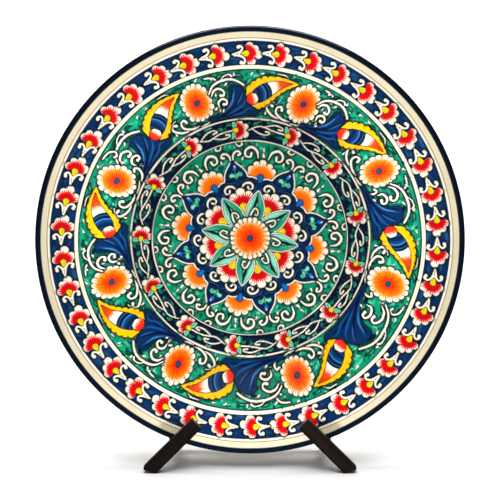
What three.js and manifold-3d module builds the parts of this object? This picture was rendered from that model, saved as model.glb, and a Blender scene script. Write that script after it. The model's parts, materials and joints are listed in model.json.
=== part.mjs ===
// A painted ceramic plate standing on a folding wooden easel.
//
// The easel is two crossed legs that scissor about one bolt, with a hinged prop behind them.
// Each leg is a rear slat behind the plate, a ledge that carries the rim, and a front leg
// before the plate that reaches the floor. The plate lifts off.
//
// Units are millimetres, +Z is up and the plate faces -Y. The easel group is turned so that in
// it x runs to the right, y runs up along the leaning plate, and z stands out of its face, with
// z = 0 on the plane of the plate's rim and y = 0 where that plane meets the floor.

import * as THREE from 'three'
import { mergeVertices } from 'three/addons/utils/BufferGeometryUtils.js'
import Module from 'manifold-3d'

const wasm = await Module()
wasm.setup()

const GAP = 0.3 // air between pieces that touch
const rad = THREE.MathUtils.degToRad

// Plate
const PLATE_RADIUS = 150
const EDGE_ROUND = 2.6 // half the thickness of the rim's rounded edge
const RIM_INNER_RADIUS = 121
const RIM_INNER_DEPTH = 4.5
const WELL_RADIUS = 85
const WELL_DEPTH = 26
const RIM_WALL = 5.9
const WELL_WALL = 5
const FOOT_OUTER_RADIUS = 88
const FOOT_INNER_RADIUS = 79
const FOOT_HEIGHT = 2.6
const FOOT_TAPER = 1.2
const FOOT_DEPTH = WELL_DEPTH + WELL_WALL + FOOT_HEIGHT
const CURVE_STEPS = 7
const PLATE_SEGMENTS = 72

// Easel
const LEAN = rad(8)
const RIM_CLEARANCE = 11 // lowest point of the rim above the floor, along the plate
const PLATE_CENTRE = RIM_CLEARANCE + PLATE_RADIUS
const PIVOT_BELOW_CENTRE = 89.7
const PIVOT = PLATE_CENTRE - PIVOT_BELOW_CENTRE
const SPREAD = rad(45) // slope of each leg

// Legs, measured along the slat from the pivot, positive up
const FRONT_LEG = { width: 9.4, back: 1, front: 8.5, top: -52.8, foot: -97.9 }
const FOOT_CUT = rad(31) // angle of the foot's end from a square cut; its inner corner touches the floor
const FOOT_CHAMFER = 3
const SLAT = { width: 8.5, thickness: 8, top: 92 }
const SLAT_FRONT = -(FOOT_DEPTH + GAP)
const SLAT_BACK = SLAT_FRONT - SLAT.thickness
const LAP_MIDDLE = (SLAT_FRONT + SLAT_BACK) / 2
const LAP_REACH = 15 // half the length of the halved stretch at the crossing
const LEDGE = { radius: 2.7, tenon: 1.7, tall: 1.6, inLeg: 5 }
const SLAT_BELOW_LEDGE = 2
const SLAT_END_CUT = 3.2 // corners taken off a slat's lower end

// Hub, its pivot bolt and its stops
const HUB = { halfWidth: 14.5, thickness: 10, above: 13, below: 24 }
const SPACER = 0.7
const HUB_FRONT = SLAT_BACK - 2 * GAP - SPACER
const HUB_BACK = HUB_FRONT - HUB.thickness
const BOLT = { radius: 2, headRadius: 4, headDepth: 2.2, sink: 0.4 }
const WASHER = { outer: 4.8, thickness: 0.8 }
const NUT = { acrossFlats: 7, thickness: 3.2 }
const BOLT_PAST_NUT = 1.2
const PEG = { radius: 2, below: 1.2, inHub: 6 }

// Prop
const PROP = { halfWidth: 5, halfThickness: 4, spread: LEAN + rad(30) }
const HINGE_BELOW_PIVOT = 16
const HINGE_BEHIND_HUB = 6.8
const EAR = { inner: 6.2, outer: 10.2, radius: 6 }
const PIN = { radius: 1.5, headRadius: 2.6, head: 0.8 }
const PIN_WASHER = { outer: 3.2, thickness: 0.6 }
const HOLE_SEGMENTS = 24

// Materials
const glazed = new THREE.MeshStandardMaterial({ color: 0xf0e4ca, roughness: 0.12, metalness: 0 })
const stained = new THREE.MeshStandardMaterial({ color: 0x1e1614, roughness: 0.5, metalness: 0 })
const steel = new THREE.MeshStandardMaterial({ color: 0x8f8f8c, roughness: 0.35, metalness: 1 })

// Solids: a bare closed geometry goes to manifold-3d for a cut or a join and comes back.
function toSolid(geometry) {
  const bare = geometry.clone()
  bare.deleteAttribute('normal')
  bare.deleteAttribute('uv')
  const merged = mergeVertices(bare, 1e-4)
  const vertProperties = new Float32Array(merged.attributes.position.array)
  const triVerts = new Uint32Array(merged.index.array)
  return new wasm.Manifold(new wasm.Mesh({ numProp: 3, vertProperties, triVerts }))
}

function toGeometry(solid) {
  const mesh = solid.getMesh()
  const geometry = new THREE.BufferGeometry()
  geometry.setAttribute('position', new THREE.BufferAttribute(mesh.vertProperties, 3))
  geometry.setIndex(new THREE.BufferAttribute(mesh.triVerts, 1))
  geometry.computeVertexNormals()
  return geometry
}

function cut(geometry, ...tools) {
  return toGeometry(tools.reduce((solid, tool) => solid.subtract(toSolid(tool)), toSolid(geometry)))
}

function join(geometry, ...others) {
  return toGeometry(others.reduce((solid, other) => solid.add(toSolid(other)), toSolid(geometry)))
}

function piece(name, geometry, material) {
  const mesh = new THREE.Mesh(geometry, material.clone())
  mesh.name = name
  return mesh
}

function polygon(points) {
  return new THREE.Shape(points.map(([x, y]) => new THREE.Vector2(x, y)))
}

// A shape in the x-y plane, extruded from z = low to z = high.
function extruded(shape, low, high) {
  const options = { depth: high - low, bevelEnabled: false, curveSegments: HOLE_SEGMENTS / 2 }
  return new THREE.ExtrudeGeometry(shape, options).translate(0, 0, low)
}

// An outline of [y, z] points, extruded along x from low to high.
function extrudedAlongX(points, low, high) {
  return extruded(polygon(points), low, high).applyMatrix4(
    new THREE.Matrix4().makeBasis(
      new THREE.Vector3(0, 1, 0),
      new THREE.Vector3(0, 0, 1),
      new THREE.Vector3(1, 0, 0)
    )
  )
}

// A closed [radius, height] profile turned about z.
function turned(profile, segments) {
  const points = profile.map(([r, z]) => new THREE.Vector2(r, z))
  return new THREE.LatheGeometry(points, segments).rotateX(Math.PI / 2)
}

// A rod along z from low to high.
function rod(radius, low, high, x = 0, y = 0) {
  return new THREE.CylinderGeometry(radius, radius, high - low, HOLE_SEGMENTS)
    .rotateX(Math.PI / 2)
    .translate(x, y, (low + high) / 2)
}

// A flat ring along z from low to high.
function ring(inner, outer, low, high) {
  const profile = [[inner, low], [outer, low], [outer, high], [inner, high], [inner, low]]
  return turned(profile, HOLE_SEGMENTS)
}

// A stadium of the given radius between two points on the x axis.
function stadium(radius, left, right) {
  const shape = new THREE.Shape()
  shape.absarc(right, 0, radius, -Math.PI / 2, Math.PI / 2, false)
  shape.absarc(left, 0, radius, Math.PI / 2, (3 * Math.PI) / 2, false)
  return shape
}

// Points of a curve from [r0, z0] to [r1, z1] that is level at the start and has slope at the end.
function sweep([r0, z0], [r1, z1], slope) {
  const points = []
  for (let i = 0; i <= CURVE_STEPS; i += 1) {
    const t = i / CURVE_STEPS
    const rise = t * t * (3 - 2 * t)
    const lift = (t * t * t - t * t) * slope * (r1 - r0)
    points.push([r0 + t * (r1 - r0), z0 + rise * (z1 - z0) + lift])
  }
  return points
}

function plateGeometry() {
  const rimEnd = PLATE_RADIUS - EDGE_ROUND
  const rimSlope = RIM_INNER_DEPTH / (rimEnd - RIM_INNER_RADIUS)
  const underWell = -(WELL_DEPTH + WELL_WALL)
  const underRim = -(RIM_INNER_DEPTH + RIM_WALL)
  const edge = [-60, -30, 0, 30, 60].map((degrees) => [
    rimEnd + EDGE_ROUND * Math.cos(rad(degrees)),
    EDGE_ROUND * (Math.sin(rad(degrees)) - 1),
  ])
  const back = [
    [0, underWell],
    [FOOT_INNER_RADIUS - FOOT_TAPER, underWell],
    [FOOT_INNER_RADIUS, -FOOT_DEPTH],
    [FOOT_OUTER_RADIUS - FOOT_TAPER, -FOOT_DEPTH],
    [FOOT_OUTER_RADIUS, underWell],
  ]
  const heel = [FOOT_OUTER_RADIUS + FOOT_TAPER, underWell]
  const underside = sweep(heel, [RIM_INNER_RADIUS, underRim], rimSlope)
  const face = sweep([WELL_RADIUS, -WELL_DEPTH], [RIM_INNER_RADIUS, -RIM_INNER_DEPTH], rimSlope)
  const profile = [
    ...back,
    ...underside,
    [rimEnd, -2 * EDGE_ROUND],
    ...edge,
    [rimEnd, 0],
    ...face.reverse(),
    [0, -WELL_DEPTH],
  ]
  return turned(profile, PLATE_SEGMENTS)
}

// Leg geometry lies along x: the pivot is at 0 and the foot on the negative side. The outer
// side, away from the other leg, is +y on the left leg and -y on the right one.
function frontLegGeometry(outer) {
  const half = FRONT_LEG.width / 2
  const outerFoot = FRONT_LEG.foot - FRONT_LEG.width * Math.tan(FOOT_CUT)
  const shape = polygon([
    [FRONT_LEG.top, -half * outer],
    [FRONT_LEG.top, half * outer],
    [outerFoot + FOOT_CHAMFER, half * outer],
    [outerFoot + FOOT_CHAMFER * Math.sin(FOOT_CUT), (half - FOOT_CHAMFER / 2) * outer],
    [FRONT_LEG.foot, -half * outer],
  ])
  return extruded(shape, FRONT_LEG.back, FRONT_LEG.front)
}

// Where along a leg a round ledge just carries the rim.
function ledgePlace() {
  const reach = PLATE_RADIUS + GAP + LEDGE.radius
  const across = PIVOT_BELOW_CENTRE * Math.cos(SPREAD)
  return PIVOT_BELOW_CENTRE * Math.sin(SPREAD) - Math.sqrt(reach * reach - across * across)
}

function tenonGeometry(extra) {
  const place = ledgePlace()
  const shape = stadium(LEDGE.tenon + extra, place - LEDGE.tall, place)
  return extruded(shape, SLAT_BACK - extra, FRONT_LEG.back + LEDGE.inLeg + extra)
}

function ledgeGeometry() {
  const place = ledgePlace()
  const shape = stadium(LEDGE.radius, place - LEDGE.tall, place)
  return join(extruded(shape, SLAT_FRONT + GAP, FRONT_LEG.back - GAP), tenonGeometry(0))
}

function slatBottom() {
  return ledgePlace() - LEDGE.tall - LEDGE.tenon - SLAT_BELOW_LEDGE
}

// The corner that is sawn off one side of a slat's lower end.
function slatEndCorner(side) {
  const bottom = slatBottom()
  const half = SLAT.width / 2
  const shape = polygon([
    [bottom - 1, side * (half - SLAT_END_CUT - 1)],
    [bottom + SLAT_END_CUT + 1, side * (half + 1)],
    [bottom - 1, side * (half + 1)],
  ])
  return extruded(shape, SLAT_BACK - 1, SLAT_FRONT + 1)
}

// A slat with half of its thickness left at the crossing, between low and high.
function slatGeometry(low, high) {
  const bottom = slatBottom()
  const half = SLAT.width / 2
  const outline = [
    [bottom, SLAT_BACK],
    [-LAP_REACH, SLAT_BACK],
    [-LAP_REACH, low],
    [LAP_REACH, low],
    [LAP_REACH, SLAT_BACK],
    [SLAT.top, SLAT_BACK],
    [SLAT.top, SLAT_FRONT],
    [LAP_REACH, SLAT_FRONT],
    [LAP_REACH, high],
    [-LAP_REACH, high],
    [-LAP_REACH, SLAT_FRONT],
    [bottom, SLAT_FRONT],
  ]
  const moved = ([x, z], i) => i === 0 || x !== outline[i - 1][0] || z !== outline[i - 1][1]
  const kept = outline.filter(moved)
  return extruded(polygon(kept), -half, half).rotateX(Math.PI / 2)
}

function boltGeometry() {
  const top = SLAT_FRONT - BOLT.sink
  const end = HUB_BACK - 2 * GAP - WASHER.thickness - NUT.thickness - BOLT_PAST_NUT
  const profile = [
    [0, end],
    [BOLT.radius, end],
    [BOLT.radius, top - BOLT.headDepth],
    [BOLT.headRadius, top - BOLT.sink],
    [BOLT.headRadius, top],
    [0, top],
  ]
  return turned(profile, HOLE_SEGMENTS)
}

// The hole for the bolt's shank and the countersink for its head, open at the slat's face.
function boltHole(low) {
  const top = SLAT_FRONT - BOLT.sink
  const wide = BOLT.headRadius + GAP
  const profile = [
    [0, low],
    [BOLT.radius + GAP, low],
    [BOLT.radius + GAP, top - BOLT.headDepth - GAP],
    [wide, top - BOLT.sink - GAP],
    [wide, SLAT_FRONT + 1],
    [0, SLAT_FRONT + 1],
  ]
  return turned(profile, HOLE_SEGMENTS)
}

function pegPlace() {
  return (SLAT.width / 2 + PEG.radius + GAP) / Math.cos(SPREAD)
}

// The hub lies behind the crossing, with two ears for the prop. The pivot is its origin.
function hubGeometry() {
  const hinge = [-HINGE_BELOW_PIVOT, HUB_BACK - HINGE_BEHIND_HUB]
  const block = extrudedAlongX(
    [
      [-HUB.below, HUB_BACK],
      [HUB.above, HUB_BACK],
      [HUB.above, HUB_FRONT],
      [-HUB.below, HUB_FRONT],
    ],
    -HUB.halfWidth,
    HUB.halfWidth
  )
  const earOutline = [[hinge[0] + EAR.radius, HUB_BACK + 1], [hinge[0] - EAR.radius, HUB_BACK + 1]]
  for (let degrees = 180; degrees <= 360; degrees += 15) {
    const angle = rad(degrees)
    earOutline.push([hinge[0] + EAR.radius * Math.cos(angle), hinge[1] + EAR.radius * Math.sin(angle)])
  }
  const rightEar = extrudedAlongX(earOutline, EAR.inner, EAR.outer)
  const leftEar = extrudedAlongX(earOutline, -EAR.outer, -EAR.inner)
  const pinHole = rod(PIN.radius + GAP, -EAR.outer - 1, EAR.outer + 1)
    .rotateY(Math.PI / 2)
    .translate(0, ...hinge)
  const pegHoles = [-1, 1].map((side) =>
    rod(PEG.radius + GAP, HUB_FRONT - PEG.inHub - GAP, HUB_FRONT + 1, side * pegPlace())
  )
  const shank = rod(BOLT.radius + GAP, HUB_BACK - 1, HUB_FRONT + 1)
  return cut(join(block, leftEar, rightEar), shank, pinHole, ...pegHoles)
}

function nutGeometry() {
  const corner = NUT.acrossFlats / 2 / Math.cos(rad(30))
  const low = HUB_BACK - 2 * GAP - WASHER.thickness - NUT.thickness
  const body = new THREE.CylinderGeometry(corner, corner, NUT.thickness, 6)
    .rotateX(Math.PI / 2)
    .translate(0, 0, low + NUT.thickness / 2)
  return cut(body, rod(BOLT.radius + GAP, low - 1, low + NUT.thickness + 1))
}

// The prop hangs from its pin at the origin, down along -y. Its top corner is what stops it
// against the hub when it is open.
function propGeometry() {
  const toHub = HINGE_BEHIND_HUB - GAP
  const half = PROP.halfThickness
  const tail = (toHub - half * Math.cos(PROP.spread)) / Math.sin(PROP.spread)
  const long = 2 * PIVOT
  const outline = [
    [-long, -half],
    [tail - half, -half],
    [tail, 0],
    [tail, half],
    [-long, half],
  ]
  const hole = rod(PIN.radius + GAP, -PROP.halfWidth - 1, PROP.halfWidth + 1).rotateY(Math.PI / 2)
  return cut(extrudedAlongX(outline, -PROP.halfWidth, PROP.halfWidth), hole)
}

function pinGeometry() {
  const end = EAR.outer + GAP
  const profile = [
    [0, -end - PIN.head],
    [PIN.headRadius, -end - PIN.head],
    [PIN.headRadius, -end],
    [PIN.radius, -end],
    [PIN.radius, end],
    [PIN.headRadius, end],
    [PIN.headRadius, end + PIN.head],
    [0, end + PIN.head],
  ]
  return turned(profile, HOLE_SEGMENTS).rotateY(Math.PI / 2)
}

// Cuts a placed mesh off where it would reach below the floor.
function standOnFloor(mesh) {
  const floor = new THREE.BoxGeometry(600, 600, 200).translate(0, 0, -100)
  floor.applyMatrix4(mesh.matrixWorld.clone().invert())
  mesh.geometry = cut(mesh.geometry, floor)
}

const easel = new THREE.Group()
easel.rotation.x = Math.PI / 2 - LEAN

const plate = piece('plate', plateGeometry(), glazed)
plate.position.y = PLATE_CENTRE
easel.add(plate)

function legGroup(side) {
  const group = new THREE.Group()
  const outer = side === 'left' ? 1 : -1
  group.position.y = PIVOT
  group.rotation.z = side === 'left' ? SPREAD : Math.PI - SPREAD
  const halved = side === 'left'
    ? slatGeometry(LAP_MIDDLE + GAP / 2, SLAT_FRONT)
    : slatGeometry(SLAT_BACK, LAP_MIDDLE - GAP / 2)
  const sawn = cut(halved, slatEndCorner(1), slatEndCorner(-1))
  group.add(
    piece(`${side}_front_leg`, cut(frontLegGeometry(outer), tenonGeometry(GAP)), stained),
    piece(`${side}_ledge`, ledgeGeometry(), stained),
    piece(`${side}_rear_slat`, cut(sawn, tenonGeometry(GAP), boltHole(SLAT_BACK - 1)), stained)
  )
  return group
}

easel.add(legGroup('left'), legGroup('right'))

const hub = new THREE.Group()
hub.position.y = PIVOT
const nutFace = HUB_BACK - GAP
const spacerFace = SLAT_BACK - GAP
const washerHole = BOLT.radius + GAP
hub.add(
  piece('hub_block', hubGeometry(), stained),
  piece('pivot_bolt', boltGeometry(), steel),
  piece('pivot_spacer', ring(washerHole, WASHER.outer, spacerFace - SPACER, spacerFace), steel),
  piece('pivot_washer', ring(washerHole, WASHER.outer, nutFace - WASHER.thickness, nutFace), steel),
  piece('pivot_nut', nutGeometry(), steel)
)
for (const [name, side] of [['left', -1], ['right', 1]]) {
  const peg = rod(PEG.radius, HUB_FRONT - PEG.inHub, SLAT_FRONT - PEG.below, side * pegPlace())
  hub.add(piece(`${name}_stop_peg`, peg, stained))
}
easel.add(hub)

const hinge = new THREE.Group()
hinge.position.set(0, PIVOT - HINGE_BELOW_PIVOT, HUB_BACK - HINGE_BEHIND_HUB)
const prop = piece('prop_leg', propGeometry(), stained)
prop.rotation.x = PROP.spread
hinge.add(prop, piece('prop_pin', pinGeometry(), steel))
for (const [name, side] of [['left', -1], ['right', 1]]) {
  const low = PROP.halfWidth + GAP
  const washer = ring(PIN.radius + GAP, PIN_WASHER.outer, low, low + PIN_WASHER.thickness)
  hinge.add(piece(`${name}_prop_washer`, washer.rotateY((side * Math.PI) / 2), steel))
}
easel.add(hinge)

easel.updateMatrixWorld(true)
for (const name of ['left_front_leg', 'right_front_leg', 'prop_leg']) {
  standOnFloor(easel.getObjectByName(name))
}

// The origin is the middle of the object's bounding box, on the floor.
const box = new THREE.Box3().setFromObject(easel, true)
easel.position.y = -(box.min.y + box.max.y) / 2

const object = new THREE.Group()
object.add(easel)

export default object
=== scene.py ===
"""Looks of a hand painted ceramic plate that stands on a folding wooden easel.

The plate is one fired body with a relief of enamel on its face. Its decoration is painted stroke
by stroke on a sheet that covers the face, and the sheet's colour is then carried by the points of
a fine mesh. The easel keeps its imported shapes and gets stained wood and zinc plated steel.
"""

import json
import math

import bpy
import numpy as np
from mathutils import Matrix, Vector


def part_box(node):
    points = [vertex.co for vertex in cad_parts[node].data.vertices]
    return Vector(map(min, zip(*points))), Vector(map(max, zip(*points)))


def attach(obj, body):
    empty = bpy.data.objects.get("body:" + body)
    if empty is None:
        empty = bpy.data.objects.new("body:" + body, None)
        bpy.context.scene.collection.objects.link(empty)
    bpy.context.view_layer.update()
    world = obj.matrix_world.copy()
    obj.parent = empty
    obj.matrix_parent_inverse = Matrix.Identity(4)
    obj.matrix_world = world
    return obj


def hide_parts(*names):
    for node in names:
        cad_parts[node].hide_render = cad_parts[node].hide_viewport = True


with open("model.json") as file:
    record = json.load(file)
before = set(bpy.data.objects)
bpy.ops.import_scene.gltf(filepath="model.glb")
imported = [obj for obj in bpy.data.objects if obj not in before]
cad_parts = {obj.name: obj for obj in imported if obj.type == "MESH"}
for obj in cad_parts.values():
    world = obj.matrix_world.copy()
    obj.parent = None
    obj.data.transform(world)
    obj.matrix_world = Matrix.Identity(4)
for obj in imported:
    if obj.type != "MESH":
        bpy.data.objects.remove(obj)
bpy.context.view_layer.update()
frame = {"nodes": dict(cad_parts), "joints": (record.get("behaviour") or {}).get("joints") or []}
nodes = frame["nodes"]
joints = {joint["name"]: joint for joint in frame["joints"]}
MM = 0.001

# --- Painting the decoration ---------------------------------------------------------------
# Colours are sRGB shares. Lengths are millimetres on the plate's face, from its centre, with
# x to the right and y up. Angles on the plate run clockwise from the top, in degrees. A place is
# a function that maps a motif's own points onto the face, and c is the canvas. A width is the
# half width of a stroke, or a list of them along it.

CREAM = (0.97, 0.94, 0.86)
WARM_CREAM = (0.86, 0.81, 0.69)
BLACK = (0.01, 0.025, 0.04)
NAVY = (0.02, 0.16, 0.33)
DEEP_NAVY = (0.01, 0.07, 0.19)
STEEL_BLUE = (0.14, 0.36, 0.56)
EDGE_BLUE = (0.01, 0.07, 0.14)
SHADE = (0.0, 0.10, 0.10)
GREEN = (0.03, 0.55, 0.40)
MINT = (0.40, 0.83, 0.66)
DARK_GREEN = (0.02, 0.27, 0.20)
RED = (0.80, 0.02, 0.06)
DARK_RED = (0.60, 0.01, 0.05)
RED_ORANGE = (0.98, 0.30, 0.03)
YELLOW = (0.98, 0.81, 0.05)
OCHRE = (0.80, 0.55, 0.06)
BROWN = (0.45, 0.30, 0.16)

EDGE = 0.12  # how far a brush mark's edge fades
LINE = 0.72  # width of the dark outline round a motif
SLIM = 0.82  # how thin a scroll is drawn for the half widths it is given


def turn_to(points, degrees):
    """Points turned anticlockwise about the origin."""
    a = math.radians(degrees)
    p = np.asarray(points, float).reshape(-1, 2)
    return p @ np.array([[math.cos(a), math.sin(a)], [-math.sin(a), math.cos(a)]])


def curve(points, steps=5):
    """A smooth line through the points (Catmull-Rom)."""
    p = np.asarray(points, float)
    p = np.vstack([2 * p[0] - p[1], p, 2 * p[-1] - p[-2]])
    t = np.linspace(0, 1, steps, endpoint=False)[:, None]
    parts = []
    for a, b, c, d in zip(p[:-3], p[1:-2], p[2:-1], p[3:]):
        parts.append(
            0.5 * (2 * b + (c - a) * t + (2 * a - 5 * b + 4 * c - d) * t**2
                   + (3 * b - a - 3 * c + d) * t**3)
        )
    return np.vstack([*parts, p[-2:-1]])


def polar(radius, angle):
    """Where a radius and a clockwise angle in radians lie on the face."""
    return np.stack([radius * np.sin(angle), radius * np.cos(angle)], -1)


def turned(angle):
    """Maps local points, +y outward, onto the plate at a clockwise angle."""
    return lambda points: turn_to(points, -angle)


def mirror(points, side):
    """Points as they are (side 1), or flipped left to right (side -1)."""
    return np.array(points) * (side, 1)


def loop(points, steps=4):
    """A smooth closed line through the points."""
    p = np.asarray(points, float)
    return curve(np.vstack([p[-1:], p, p[:2]]), steps)[steps:-2 * steps]


class Canvas:
    """The painted face as a square sheet of colour and paint thickness."""

    def __init__(self, half, step, seed):
        self.half = half
        self.step = step
        self.count = int(round(2 * half / step)) + 1
        self.rgb = np.ones((self.count, self.count, 3), np.float32)
        self.thick = np.zeros((self.count, self.count), np.float32)
        self.random = np.random.default_rng(seed)
        self.uniform = self.random.uniform

    def window(self, low, high):
        """The part of the sheet between two corners, and the x and y of its places."""
        first = np.clip(((low + self.half) / self.step).astype(int), 0, self.count - 1)
        last = np.clip(((high + self.half) / self.step).astype(int) + 2, 1, self.count)
        xs = np.arange(first[0], last[0], dtype=np.float32) * self.step - self.half
        ys = np.arange(first[1], last[1], dtype=np.float32) * self.step - self.half
        area = (slice(first[1], last[1]), slice(first[0], last[0]))
        return area, *np.meshgrid(xs, ys)

    def lay(self, area, mask, colour, raised=0.0):
        """Paints a colour, or a sheet of colours, through a mask."""
        colour = np.asarray(colour, np.float32)
        self.rgb[area] += mask[..., None] * (colour - self.rgb[area])
        if raised:
            self.thick[area] += mask * (raised - self.thick[area])

    def stroke(self, points, width, colour, end=None, grow=0.0, soft=EDGE, raised=0.0, alpha=1.0):
        """One brush stroke. width is the half width at the start, or a list along the stroke."""
        p = np.asarray(points, np.float32)
        span = np.hypot(*(p[1:] - p[:-1]).T)
        along = np.concatenate([[0], np.cumsum(span)]) / max(span.sum(), 1e-6)
        widths = np.atleast_1d(np.asarray(width, float))
        half = np.interp(along, np.linspace(0, 1, len(widths)), widths) + grow
        reach = half.max() + soft
        area, x, y = self.window(p.min(0) - reach, p.max(0) + reach)
        best = np.full(x.shape, 1e3, np.float32)
        place = np.zeros(x.shape, np.float32)
        for i in range(len(p) - 1):
            d = p[i + 1] - p[i]
            t = ((x - p[i, 0]) * d[0] + (y - p[i, 1]) * d[1]) / max(float(d @ d), 1e-9)
            t = np.clip(t, 0, 1)
            gap = np.hypot(x - p[i, 0] - t * d[0], y - p[i, 1] - t * d[1])
            gap -= half[i] + (half[i + 1] - half[i]) * t
            nearer = gap < best
            best[nearer] = gap[nearer]
            place[nearer] = (along[i] + (along[i + 1] - along[i]) * t)[nearer]
        mask = np.clip(0.5 - best / soft, 0, 1) * alpha
        if end is not None:
            place = place[..., None]
            colour = np.asarray(colour) * (1 - place) + np.asarray(end) * place
        self.lay(area, mask, colour, raised)

    def within(self, outline):
        """Window and signed distance to a closed outline, negative inside."""
        p = np.asarray(outline, np.float32)
        area, x, y = self.window(p.min(0) - 1, p.max(0) + 1)
        inside = np.zeros(x.shape, bool)
        gap = np.full(x.shape, 1e3, np.float32)
        for a, b in zip(p, np.roll(p, -1, 0)):
            d = b - a
            t = np.clip(((x - a[0]) * d[0] + (y - a[1]) * d[1]) / max(float(d @ d), 1e-9), 0, 1)
            gap = np.minimum(gap, np.hypot(x - a[0] - t * d[0], y - a[1] - t * d[1]))
            if a[1] != b[1]:
                crosses = ((a[1] > y) != (b[1] > y)) & (x < d[0] * (y - a[1]) / d[1] + a[0])
                inside ^= crosses
        return area, x, y, np.where(inside, -gap, gap)

    def shape(self, outline, colour, line=LINE, line_colour=BLACK, raised=0.0):
        """A filled outline with a dark line round it. Returns its window for more paint."""
        area, x, y, gap = self.within(outline)
        if line:
            self.lay(area, np.clip(0.5 - (gap - line) / EDGE, 0, 1), line_colour)
        mask = np.clip(0.5 - gap / EDGE, 0, 1)
        self.lay(area, mask, colour, raised)
        return area, x, y, mask


def ring_place(angle, radius, turn=0.0, size=1.0):
    """Maps local points onto the plate at a clockwise angle: +x runs clockwise, +y outward."""
    def place(points):
        p = turn_to(np.asarray(points, float) * size, turn)
        return polar(radius + p[:, 1], math.radians(angle) + p[:, 0] / radius)
    return place


def ring_angle(angle, radius):
    """The clockwise angle of a point that lies x along a ring from angle."""
    return lambda x: angle + math.degrees(x / radius)


def mixed(a, b, share):
    """A blend of two colours."""
    return np.asarray(a) * (1 - share) + np.asarray(b) * share


def rays(phi, count, random, blunt=0.9):
    """A ragged fringe: how far each direction reaches, from 0 to 1, with count pointed rays."""
    reach = random.uniform(0.5, 1.0, count + 2)
    u = phi * count
    i = np.floor(u).astype(int) % (count + 1)
    peak = 1 - np.abs(2 * (u - np.floor(u)) - 1)
    return reach[i] * peak**blunt


def bloom(c, centre, heading, lobes, core, fringe, colours, base=0.5, line=LINE, squash=1.0):
    """A flower of round petals about centre. heading is the plate direction of its middle, in
    degrees anticlockwise from +x. lobes are (angle, length, half angle) of each petal; core and
    fringe are the shares of the longest petal that the colour fills and that its rays reach;
    colours run from the middle out. squash below 1 makes it narrower across its heading."""
    longest = max(length for _, length, _ in lobes)
    reach = longest + 2.2
    area, x, y = c.window(centre - reach, centre + reach)
    way = math.radians(heading)
    u = (x - centre[0]) * math.cos(way) + (y - centre[1]) * math.sin(way)
    v = ((y - centre[1]) * math.cos(way) - (x - centre[0]) * math.sin(way)) / squash
    rho = np.hypot(u, v)
    phi = np.degrees(np.arctan2(v, u))
    widest = max(abs(angle) + half for angle, _, half in lobes)
    filled = np.clip((widest - np.abs(phi)) / 6, 0, 1) if widest < 175 else 1.0
    edge = base * longest * filled * np.ones_like(rho)
    crease = np.full_like(rho, 9.0)
    for angle, length, half in lobes:
        off = np.abs((phi - angle + 180) % 360 - 180)
        middle = length / (1 + math.sin(math.radians(half)))
        round_off = (length - middle) ** 2 - (middle * np.sin(np.radians(off))) ** 2
        lobe = middle * np.cos(np.radians(off)) + np.sqrt(np.maximum(round_off, 0))
        edge = np.maximum(edge, np.where((round_off > 0) & (off < 90), lobe, 0))
        crease = np.minimum(crease, np.abs(off - half * 0.97) * np.pi / 180 * rho)
    gap = rho - edge
    c.lay(area, np.clip(0.5 - (gap - 1.5) / 1.2, 0, 1) * 0.45, SHADE)
    c.lay(area, np.clip(0.5 - (gap - line) / EDGE, 0, 1), BLACK)
    inside = np.clip(0.5 - gap / EDGE, 0, 1)
    c.lay(area, inside, CREAM, 0.8)
    shade = np.clip((rho / np.maximum(edge, 0.1) - 0.8) / 0.2, 0, 1) * 0.3
    c.lay(area, inside * shade, WARM_CREAM)
    c.lay(area, inside * np.clip(1 - crease / 0.3, 0, 1) * (rho > longest * 0.74) * 0.8, BLACK)
    count = int(round(2 * math.pi * longest * fringe / 1.9))
    ragged = rays((phi + 180) / 360, count, c.random)
    tip = longest * (core + (fringe - core) * ragged)
    tip = np.minimum(tip, np.maximum(edge * 0.93, 0.1))
    share = np.clip(rho / np.maximum(tip, 0.1), 0, 1)
    steps = np.linspace(0, 1, len(colours))
    paint = np.stack([np.interp(share, steps, [k[j] for k in colours]) for j in range(3)], -1)
    c.lay(area, np.clip(0.5 - (rho - tip) / (EDGE * 2.2), 0, 1) * inside, paint, 0.6)


def curls(c, place, strokes, line=0.62):
    """Cream scrolls that join: a soft shade under them all, their dark lines, and then the cream.
    strokes are (points, half widths) of each, and the points are smoothed here."""
    strokes = [(place(curve(points)), np.multiply(width, SLIM)) for points, width in strokes]
    for points, width in strokes:
        c.stroke(points, width, SHADE, grow=1.3, soft=1.2, alpha=0.6)
    for points, width in strokes:
        c.stroke(points, width, BLACK, grow=line)
    for points, width in strokes:
        c.stroke(points, width, CREAM, raised=1.0)


def ground(c, inner, outer, base, tones, count, length, width):
    """A band's ground: a flat wash, then broad seeded brush marks that follow the ring."""
    area, x, y = c.window(np.full(2, -outer - 1.0), np.full(2, outer + 1.0))
    r = np.hypot(x, y)
    band = np.clip(0.5 - (r - outer) / EDGE, 0, 1) * np.clip(0.5 + (r - inner) / EDGE, 0, 1)
    c.lay(area, band, base, 0.2)
    for _ in range(count):
        tone = tones[c.random.integers(len(tones))]
        radius = c.uniform(inner + width, outer - width)
        start = c.uniform(0, 360)
        sweep = math.degrees(c.uniform(0.5, 1.0) * length / radius)
        drift = c.uniform(-1.6, 1.6)
        t = np.linspace(0, 1, 5)
        path = polar(np.clip(radius + drift * t, inner + 0.3, outer - 0.3), np.radians(start + sweep * t))
        half = c.uniform(0.4, 1.0) * width
        alpha = c.uniform(0.25, 0.75)
        c.stroke(path, [0.3 * half, half, half, 0.2 * half], tone, soft=0.5, alpha=alpha)


def touch(c, radius, angle, points, width, tone, soft, alpha):
    """A short mark at a place on the face, turned any way."""
    p = polar(radius, angle) + turn_to(points, c.uniform(0, 360))
    c.stroke(p, width, tone, soft=soft, alpha=alpha)


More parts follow.
